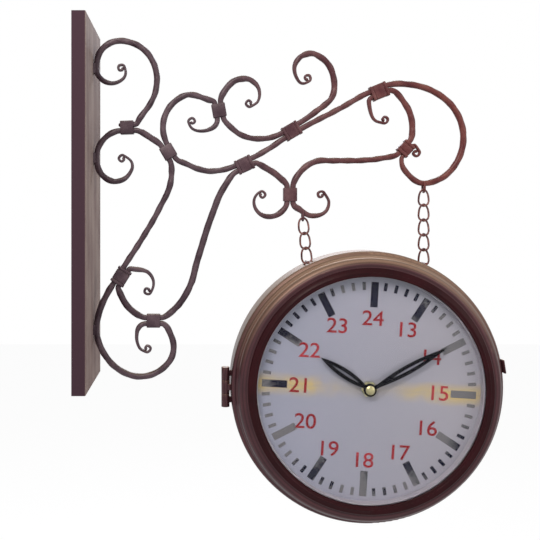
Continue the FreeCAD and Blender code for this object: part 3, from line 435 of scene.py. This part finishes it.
# ---------------------------------------------------------------- dials
# A pressed steel disc on each side, sprayed bluish white. Damp has left a yellow brown stain and a
# crease across the middle, from one side number to the other.
dial_turn = math.radians(-3.4)
dial_face = {"front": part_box("front_dial")[0][1], "rear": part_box("rear_dial")[1][1]}


def to_clock(side, lift):
    """Matrix from a dial's own frame (right, up, out) to the clock, a little above the dial's face."""
    way = -1 if side == "front" else 1
    centre = Vector((head.x, dial_face[side] + way * lift, head.z))
    stand = Matrix.Rotation(math.radians(90), 4, "X")
    turn = Matrix.Identity(4) if side == "front" else Matrix.Rotation(math.pi, 4, "Z")
    return Matrix.Translation(centre) @ turn @ stand


def stained_dial():
    """Satin bluish white enamel with a damp stain 18 mm tall along the dial's middle line."""
    material, tree, shader, place = blank_finish("bluish white dial enamel, stained", Roughness=0.5,
                                                 Coat_Weight=0.1, Coat_Roughness=0.3)
    centred = add(tree, "ShaderNodeMapping", {"Vector": place, "Location": (-head.x, 0.0, -head.z)})
    tilt = add(tree, "ShaderNodeMapping",
               {"Vector": centred.outputs["Vector"], "Rotation": (0.0, dial_turn, 0.0)})
    split = add(tree, "ShaderNodeSeparateXYZ", {"Vector": tilt.outputs["Vector"]})
    across = add(tree, "ShaderNodeMapRange",
                 {"Value": split.outputs["X"], "From Min": -0.09, "From Max": 0.09})
    base = add(tree, "ShaderNodeMix",
               {"Factor": across.outputs[0], 6: linear("#76788c"), 7: linear("#807d8a")},
               data_type="RGBA")
    wave = add(tree, "ShaderNodeTexNoise",
               {"Vector": tilt.outputs["Vector"], "Scale": 1000 / 28, "Detail": 5.0})
    wobble = add(tree, "ShaderNodeMath", {0: wave.outputs["Fac"], 1: 0.010, 2: -0.005},
                 operation="MULTIPLY_ADD")
    height = add(tree, "ShaderNodeMath", {0: split.outputs["Z"], 1: wobble.outputs[0]}, operation="ADD")
    off_line = add(tree, "ShaderNodeMath", {0: height.outputs[0]}, operation="ABSOLUTE")
    band = add(tree, "ShaderNodeMapRange",
               {"Value": off_line.outputs[0], "From Min": 0.011, "From Max": 0.002})
    from_middle = add(tree, "ShaderNodeMath", {0: split.outputs["X"]}, operation="ABSOLUTE")
    outer = add(tree, "ShaderNodeMapRange",
                {"Value": from_middle.outputs[0], "From Min": 0.02, "From Max": 0.05, "To Min": 0.2,
                 "To Max": 1.0})
    patch = add(tree, "ShaderNodeMapRange",
                {"Value": wave.outputs["Fac"], "From Min": 0.3, "From Max": 0.55})
    strength = add(tree, "ShaderNodeMath", {0: band.outputs[0], 1: outer.outputs[0]}, operation="MULTIPLY")
    spread = add(tree, "ShaderNodeMath", {0: strength.outputs[0], 1: patch.outputs[0]},
                 operation="MULTIPLY")
    amount = add(tree, "ShaderNodeMath", {0: spread.outputs[0], 1: 0.85}, operation="MULTIPLY")
    stained = add(tree, "ShaderNodeMix",
                  {"Factor": amount.outputs[0], 6: base.outputs[2], 7: linear("#a08a4e")},
                  data_type="RGBA")
    crease = add(tree, "ShaderNodeMapRange",
                 {"Value": off_line.outputs[0], "From Min": 0.0008, "From Max": 0.0002, "To Max": 0.5})
    creased = add(tree, "ShaderNodeMix",
                  {"Factor": crease.outputs[0], 6: stained.outputs[2], 7: linear("#7c7674")},
                  data_type="RGBA")
    dust = add(tree, "ShaderNodeTexNoise", {"Vector": place, "Scale": 1000 / 4, "Detail": 4.0})
    film = add(tree, "ShaderNodeMapRange", {"Value": dust.outputs["Fac"], "To Min": 0.94, "To Max": 1.04})
    shade = add(tree, "ShaderNodeMix", {"Factor": 1.0, 6: creased.outputs[2], 7: film.outputs[0]},
                data_type="RGBA", blend_type="MULTIPLY")
    tree.links.new(shade.outputs[2], shader.inputs["Base Color"])
    bump = add(tree, "ShaderNodeBump", {"Height": wave.outputs["Fac"], "Strength": 0.1, "Distance": 0.0003})
    tree.links.new(bump.outputs["Normal"], shader.inputs["Normal"])
    return material


dial_enamel = stained_dial()
for side in ("front", "rear"):
    put_on(soft_copy(side + "_dial", 0.1, 40, 1), side + "_dial", dial_enamel)

# ---------------------------------------------------------------- dial print: strokes
# Sixty strokes are screen printed round each dial in near black ink: fifty-five short ones for the
# minutes, and a long broad one at each five minutes. The ink stands a hair above the enamel.
ink_lift = 0.00006


def printed_ink(name, deep, glare_grey, size, middle_glare):
    """Screen ink: a satin film, specked, with painted reflections that grey it in patches of the given size
    and towards the middle line.
    """
    material, tree, shader, place = blank_finish(name, Roughness=0.5, Specular_IOR_Level=0.1)
    patch = add(tree, "ShaderNodeTexNoise", {"Vector": place, "Scale": 1000 / size, "Detail": 1.0})
    speck = add(tree, "ShaderNodeTexNoise", {"Vector": place, "Scale": 1000 / 2.5, "Detail": 4.0})
    both = add(tree, "ShaderNodeMath", {0: speck.outputs["Fac"], 1: 0.35, 2: patch.outputs["Fac"]},
               operation="MULTIPLY_ADD")
    centred = add(tree, "ShaderNodeMapping", {"Vector": place, "Location": (0.0, 0.0, -head.z)})
    split = add(tree, "ShaderNodeSeparateXYZ", {"Vector": centred.outputs["Vector"]})
    off_middle = add(tree, "ShaderNodeMath", {0: split.outputs["Z"]}, operation="ABSOLUTE")
    near = add(tree, "ShaderNodeMapRange",
               {"Value": off_middle.outputs[0], "From Min": 0.075, "From Max": 0.04, "To Max": middle_glare})
    level = add(tree, "ShaderNodeMath", {0: both.outputs[0], 1: near.outputs[0]}, operation="ADD")
    # The grey where the level is high is a painted reflection of light on the ink.
    glare_share = add(tree, "ShaderNodeMapRange", {"Value": level.outputs[0], "From Min": 0.7, "From Max": 0.86})
    tone = add(tree, "ShaderNodeMix", {"Factor": glare_share.outputs[0], 6: linear(deep), 7: linear(glare_grey)},
               data_type="RGBA")
    tree.links.new(tone.outputs[2], shader.inputs["Base Color"])
    return material


def stroke_tree():
    """Strokes about a circle: every fifth one is the long kind."""
    tree = bpy.data.node_groups.new("printed strokes", "GeometryNodeTree")
    for label in ("Outer radius", "Minute length", "Minute width", "Hour length", "Hour width", "Film"):
        tree.interface.new_socket(label, in_out="INPUT", socket_type="NodeSocketFloat")
    tree.interface.new_socket("Ink", in_out="INPUT", socket_type="NodeSocketMaterial")
    tree.interface.new_socket("Mesh", in_out="OUTPUT", socket_type="NodeSocketGeometry")
    given = tree.nodes.new("NodeGroupInput").outputs
    index = add(tree, "GeometryNodeInputIndex").outputs[0]
    fifth = add(tree, "FunctionNodeCompare", {"A": add(tree, "ShaderNodeMath", {0: index, 1: 5.0},
                operation="MODULO").outputs[0], "B": 0.5}, operation="LESS_THAN", data_type="FLOAT")
    kinds = []
    for kind in ("Minute", "Hour"):
        size = add(tree, "ShaderNodeCombineXYZ", {"X": given[kind + " width"], "Y": given[kind + " length"],
                                                  "Z": given["Film"]})
        bar = add(tree, "GeometryNodeMeshCube", {"Size": size.outputs[0]})
        half = add(tree, "ShaderNodeMath", {0: given[kind + " length"], 1: -0.5}, operation="MULTIPLY")
        out = add(tree, "ShaderNodeMath", {0: half.outputs[0], 1: given["Outer radius"]}, operation="ADD")
        shift = add(tree, "ShaderNodeCombineXYZ", {"Y": out.outputs[0]})
        kinds.append(add(tree, "GeometryNodeTransform", {"Geometry": bar.outputs["Mesh"],
                                                         "Translation": shift.outputs[0]}))
    points = add(tree, "GeometryNodePoints", {"Count": 60})
    angle = add(tree, "ShaderNodeMath", {0: index, 1: -math.tau / 60}, operation="MULTIPLY")
    turn = add(tree, "ShaderNodeCombineXYZ", {"Z": angle.outputs[0]})
    placed = []
    for kind, wanted in zip(kinds, (False, True)):
        chosen = fifth.outputs[0]
        if not wanted:
            chosen = add(tree, "FunctionNodeBooleanMath", {0: chosen}, operation="NOT").outputs[0]
        placed.append(add(tree, "GeometryNodeInstanceOnPoints", {
            "Points": points.outputs[0], "Selection": chosen, "Instance": kind.outputs[0],
            "Rotation": turn.outputs[0]}))
    both = add(tree, "GeometryNodeJoinGeometry")
    for stroke in placed:
        tree.links.new(stroke.outputs[0], both.inputs[0])
    real = add(tree, "GeometryNodeRealizeInstances", {"Geometry": both.outputs[0]})
    inked = add(tree, "GeometryNodeSetMaterial", {"Geometry": real.outputs[0], "Material": given["Ink"]})
    add(tree, "NodeGroupOutput", {"Mesh": inked.outputs[0]})
    return tree


# The second colour, grey, is the painted reflection on the black ink.
black_ink = printed_ink("near black screen ink", "#0d0c20", "#5b5a60", 30, 0.2)
strokes = stroke_tree()
stroke_sizes = {"Outer radius": 0.0932, "Minute length": 0.0070, "Minute width": 0.0029,
                "Hour length": 0.022, "Hour width": 0.0064, "Film": 0.0001, "Ink": black_ink}
for side in ("front", "rear"):
    blank = bpy.data.objects.new("blank", bpy.data.meshes.new("blank"))
    bpy.context.scene.collection.objects.link(blank)
    maker = blank.modifiers.new("strokes", "NODES")
    maker.node_group = strokes
    for socket in strokes.interface.items_tree:
        if socket.in_out == "INPUT":
            maker[socket.identifier] = stroke_sizes[socket.name]
    depsgraph = bpy.context.evaluated_depsgraph_get()
    printed = bpy.data.meshes.new_from_object(blank.evaluated_get(depsgraph))
    blank.modifiers.clear()
    bpy.data.objects.remove(blank)
    printed.transform(to_clock(side, ink_lift) @ Matrix.Rotation(dial_turn, 4, "Z"))
    piece = bpy.data.objects.new(side + "_strokes", printed)
    bpy.context.scene.collection.objects.link(piece)
    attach(piece, body_of[side + "_dial"])

# ---------------------------------------------------------------- dial print: numbers
# The hours 13 to 24 are screen printed in red inside the strokes, upright, in a plain open face
# whose lines are about a seventh of its height.
number_ring = 0.0618
size_to_height = 1.33
number_height = 0.0138
number_width = 1.08
number_swell = 0.00014
number_film = 0.00005
# The paler red is the same painted reflection on the red ink.
red_ink = printed_ink("red screen ink", "#741821", "#8a2c35", 30, 0.0)
for side in ("front", "rear"):
    numbers = []
    for hour in range(13, 25):
        text = bpy.data.curves.new("hour number", "FONT")
        text.body = str(hour)
        text.size = number_height * size_to_height
        text.space_character = 0.98
        text.bevel_depth = number_swell
        text.bevel_resolution = 0
        carrier = bpy.data.objects.new("hour number", text)
        bpy.context.scene.collection.objects.link(carrier)
        depsgraph = bpy.context.evaluated_depsgraph_get()
        flat = bpy.data.meshes.new_from_object(carrier.evaluated_get(depsgraph))
        bpy.data.objects.remove(carrier)
        angle = math.radians(30 * (hour - 12))
        across = [v.co.x for v in flat.vertices]
        upward = [v.co.y for v in flat.vertices]
        middle = Vector((min(across) + max(across), min(upward) + max(upward), 0.0)) / 2
        spot = Vector((number_ring * math.sin(angle), number_ring * math.cos(angle), 0.0))
        widen = Matrix.Diagonal((number_width, 1.0, number_film / number_swell, 1.0))
        flat.transform(Matrix.Translation(spot) @ widen @ Matrix.Translation(-middle))
        numbers.append(flat)
    piece = bpy.data.objects.new(side + "_numbers", numbers[0])
    bpy.context.scene.collection.objects.link(piece)
    parts = []
    for flat in numbers[1:]:
        part = bpy.data.objects.new("part", flat)
        bpy.context.scene.collection.objects.link(part)
        parts.append(part)
    with bpy.context.temp_override(active_object=piece, selected_editable_objects=[piece] + parts):
        bpy.ops.object.join()
    piece.data.transform(to_clock(side, ink_lift) @ Matrix.Rotation(dial_turn, 4, "Z"))
    piece.data.materials.clear()
    piece.data.materials.append(red_ink)
    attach(piece, body_of[side + "_dial"])

# ---------------------------------------------------------------- hands and centre
# Leaf hands pressed from thin brass sheet and blacked, the hour hand on a tube and the minute hand
# on the arbor, with a bright brass nut behind and a polished brass cap in front.


def blacked_brass():
    """Black lacquer on a pressed hand: satin, a little greyer in patches about 5 mm across."""
    material, tree, shader, place = blank_finish("black lacquered hand", Roughness=0.45,
                                                 Specular_IOR_Level=0.02)
    rub = add(tree, "ShaderNodeTexNoise", {"Vector": place, "Scale": 1000 / 5, "Detail": 4.0})
    tone = add(tree, "ShaderNodeMix",
               {"Factor": rub.outputs["Fac"], 6: linear("#030308"), 7: linear("#0a0912")},
               data_type="RGBA")
    tree.links.new(tone.outputs[2], shader.inputs["Base Color"])
    return material


def turned_brass():
    """Turned and polished brass: warm yellow, with tool marks 0.3 mm apart and a little tarnish."""
    material, tree, shader, place = blank_finish("turned brass", Metallic=1.0)
    tarnish = add(tree, "ShaderNodeTexNoise", {"Vector": place, "Scale": 1000 / 4, "Detail": 4.0})
    tone = add(tree, "ShaderNodeMix", {"Factor": tarnish.outputs["Fac"], 6: linear("#857a52"),
                                       7: linear("#c9c09a")}, data_type="RGBA")
    tree.links.new(tone.outputs[2], shader.inputs["Base Color"])
    rough = add(tree, "ShaderNodeMapRange",
                {"Value": tarnish.outputs["Fac"], "To Min": 0.18, "To Max": 0.4})
    tree.links.new(rough.outputs[0], shader.inputs["Roughness"])
    marks = add(tree, "ShaderNodeTexNoise", {"Vector": place, "Scale": 1000 / 0.3, "Detail": 1.0})
    bump = add(tree, "ShaderNodeBump",
               {"Height": marks.outputs["Fac"], "Strength": 0.1, "Distance": 0.0001})
    tree.links.new(bump.outputs["Normal"], shader.inputs["Normal"])
    return material


hand_black = blacked_brass()
brass = turned_brass()
for side in ("front", "rear"):
    for hand in ("_hour_hand", "_minute_hand"):
        put_on(soft_copy(side + hand, 0.08, 40, 1), side + hand, hand_black)
    for turned in ("_bush", "_nut", "_hand_cap"):
        put_on(soft_copy(side + turned, 0.12, 40, 1), side + turned, brass)

# ---------------------------------------------------------------- movements
# Behind each dial is a quartz movement in a moulded black case, with one cell across its foot, two
# nickelled contacts, a steel washer, a snap ring and a small wheel for setting the hands.


def moulded_abs(name, deep, pale, grain_mm):
    """Moulded ABS with a spark-eroded grain: matt, a little greyer on its high spots."""
    material, tree, shader, place = blank_finish(name, Roughness=0.55)
    grain = add(tree, "ShaderNodeTexNoise", {"Vector": place, "Scale": 1000 / grain_mm, "Detail": 2.0})
    tone = add(tree, "ShaderNodeMix", {"Factor": grain.outputs["Fac"], 6: linear(deep), 7: linear(pale)},
               data_type="RGBA")
    tree.links.new(tone.outputs[2], shader.inputs["Base Color"])
    bump = add(tree, "ShaderNodeBump",
               {"Height": grain.outputs["Fac"], "Strength": 0.3, "Distance": 0.0001})
    tree.links.new(bump.outputs["Normal"], shader.inputs["Normal"])
    return material


def cell_sleeve():
    """Shrunk printed sleeve of a cell: a dark body and, for the last quarter, a copper coloured band."""
    material, tree, shader, place = blank_finish("shrunk cell sleeve", Roughness=0.25, Coat_Weight=0.4)
    centred = add(tree, "ShaderNodeMapping", {"Vector": place, "Location": (-head.x, 0.0, -head.z)})
    split = add(tree, "ShaderNodeSeparateXYZ", {"Vector": centred.outputs["Vector"]})
    end = add(tree, "ShaderNodeMath", {0: split.outputs["X"], 1: 0.012}, operation="GREATER_THAN")
    grime = add(tree, "ShaderNodeTexNoise", {"Vector": place, "Scale": 1000 / 12, "Detail": 3.0})
    body = add(tree, "ShaderNodeMix",
               {"Factor": grime.outputs["Fac"], 6: linear("#1f2723"), 7: linear("#2f3a34")},
               data_type="RGBA")
    tone = add(tree, "ShaderNodeMix", {"Factor": end.outputs[0], 6: body.outputs[2], 7: linear("#a8743f")},
               data_type="RGBA")
    tree.links.new(tone.outputs[2], shader.inputs["Base Color"])
    return material


black_abs = moulded_abs("black moulded ABS", "#141416", "#242427", 0.5)
grey_abs = moulded_abs("grey moulded acetal", "#3a3a3d", "#57575b", 0.5)
ring_steel = bare_steel("rolled spring steel", "#8a8c8e", 0.8)
nickel = bare_steel("nickelled contact strip", "#b9bbbd", 0.4)
sleeve = cell_sleeve()
for side in ("front", "rear"):
    put_on(soft_copy(side + "_movement", 0.35, 40), side + "_movement", black_abs)
    put_on(soft_copy(side + "_set_wheel", 0.1, 40, 1), side + "_set_wheel", grey_abs)
    put_on(soft_copy(side + "_battery", 0.4, 40), side + "_battery", sleeve)
    put_on(soft_copy(side + "_contacts", 0.05, 40, 1), side + "_contacts", nickel)
    put_on(soft_copy(side + "_snap_ring", 0.1, 40, 1), side + "_snap_ring", ring_steel)
    put_on(soft_copy(side + "_washer", 0.05, 40, 1), side + "_washer", ring_steel)

# ---------------------------------------------------------------- studio
# A pale floor well below the clock, which keeps its shadow, a pale surround and three soft lamps.
# The camera stands level, a little below the bracket's middle, square to the bracket's plane.


white_share = 0.85
white_strength = 1.1


def floor_paint():
    """Pale matt floor paint that keeps a shadow; to the camera and in glass it is mostly white light."""
    material = bpy.data.materials.new("pale matt floor")
    material.use_nodes = True
    tree = material.node_tree
    tree.nodes.clear()
    matt = add(tree, "ShaderNodeBsdfDiffuse", {"Color": linear("#f1f0ee")})
    white = add(tree, "ShaderNodeEmission", {"Color": (1.0, 1.0, 1.0, 1.0), "Strength": white_strength})
    rays = add(tree, "ShaderNodeLightPath").outputs
    seen = add(tree, "ShaderNodeMath", {0: rays["Is Camera Ray"], 1: rays["Is Glossy Ray"]},
               operation="MAXIMUM")
    seen = add(tree, "ShaderNodeMath", {0: seen.outputs[0], 1: rays["Is Transmission Ray"]},
               operation="MAXIMUM")
    share = add(tree, "ShaderNodeMath", {0: seen.outputs[0], 1: white_share}, operation="MULTIPLY")
    mixed = add(tree, "ShaderNodeMixShader", {0: share.outputs[0], 1: matt.outputs[0], 2: white.outputs[0]})
    add(tree, "ShaderNodeOutputMaterial", {"Surface": mixed.outputs[0]})
    return material


floor_mesh = bpy.data.meshes.new("floor")
reach = 4.0
floor_drop = -0.8
corners = [(-reach, -reach), (reach, -reach), (reach, reach), (-reach, reach)]
floor_mesh.from_pydata([(x, y, floor_drop) for x, y in corners], [], [(0, 1, 2, 3)])
floor = bpy.data.objects.new("floor", floor_mesh)
bpy.context.scene.collection.objects.link(floor)
floor_mesh.materials.append(floor_paint())

world = bpy.data.worlds.new("studio")
bpy.context.scene.world = world
world.use_nodes = True
sky = world.node_tree
sky.nodes.clear()
rays = add(sky, "ShaderNodeLightPath").outputs
seen = add(sky, "ShaderNodeMath", {0: rays["Is Camera Ray"], 1: rays["Is Transmission Ray"]},
           operation="MAXIMUM")
seen = add(sky, "ShaderNodeMath", {0: seen.outputs[0], 1: rays["Is Glossy Ray"]}, operation="MAXIMUM")
fill = add(sky, "ShaderNodeBackground", {"Color": linear("#e8eaf0"), "Strength": 0.3})
white = add(sky, "ShaderNodeBackground", {"Color": (1.0, 1.0, 1.0, 1.0), "Strength": 1.0})
both = add(sky, "ShaderNodeMixShader", {0: seen.outputs[0], 1: fill.outputs[0], 2: white.outputs[0]})
add(sky, "ShaderNodeOutputWorld", {"Surface": both.outputs[0]})


def lamp(name, place, aim, size, watts, colour):
    """A square soft lamp turned towards a point."""
    light = bpy.data.lights.new(name, "AREA")
    light.shape = "RECTANGLE"
    light.size, light.size_y = size
    light.energy = watts
    light.color = linear(colour)[:3]
    holder = bpy.data.objects.new(name, light)
    holder.location = place
    holder.rotation_euler = (Vector(aim) - Vector(place)).to_track_quat("-Z", "Y").to_euler()
    bpy.context.scene.collection.objects.link(holder)


lamp("key lamp", (-0.35, -1.1, 0.95), (0.2, 0.0, -0.05), (0.7, 0.7), 18.0, "#fff6ec")
lamp("side lamp", (1.2, -0.8, 0.3), (0.2, 0.0, -0.05), (0.5, 0.9), 4.0, "#fdf1e6")
lamp("back lamp", (0.3, 1.2, 0.7), (0.2, 0.0, -0.05), (0.9, 0.6), 9.0, "#eef2ff")

camera_data = bpy.data.cameras.new("camera")
camera_data.sensor_width = 36.0
camera_data.lens = 49.93
camera_data.shift_x = 0.1444
camera_data.shift_y = -0.0963
camera = bpy.data.objects.new("camera", camera_data)
camera.location = (0.1001, -0.6705, -0.0123)
camera.rotation_euler = (math.radians(90), 0.0, 0.0)
bpy.context.scene.collection.objects.link(camera)
bpy.context.scene.camera = camera
bpy.context.scene.view_settings.view_transform = "Standard"
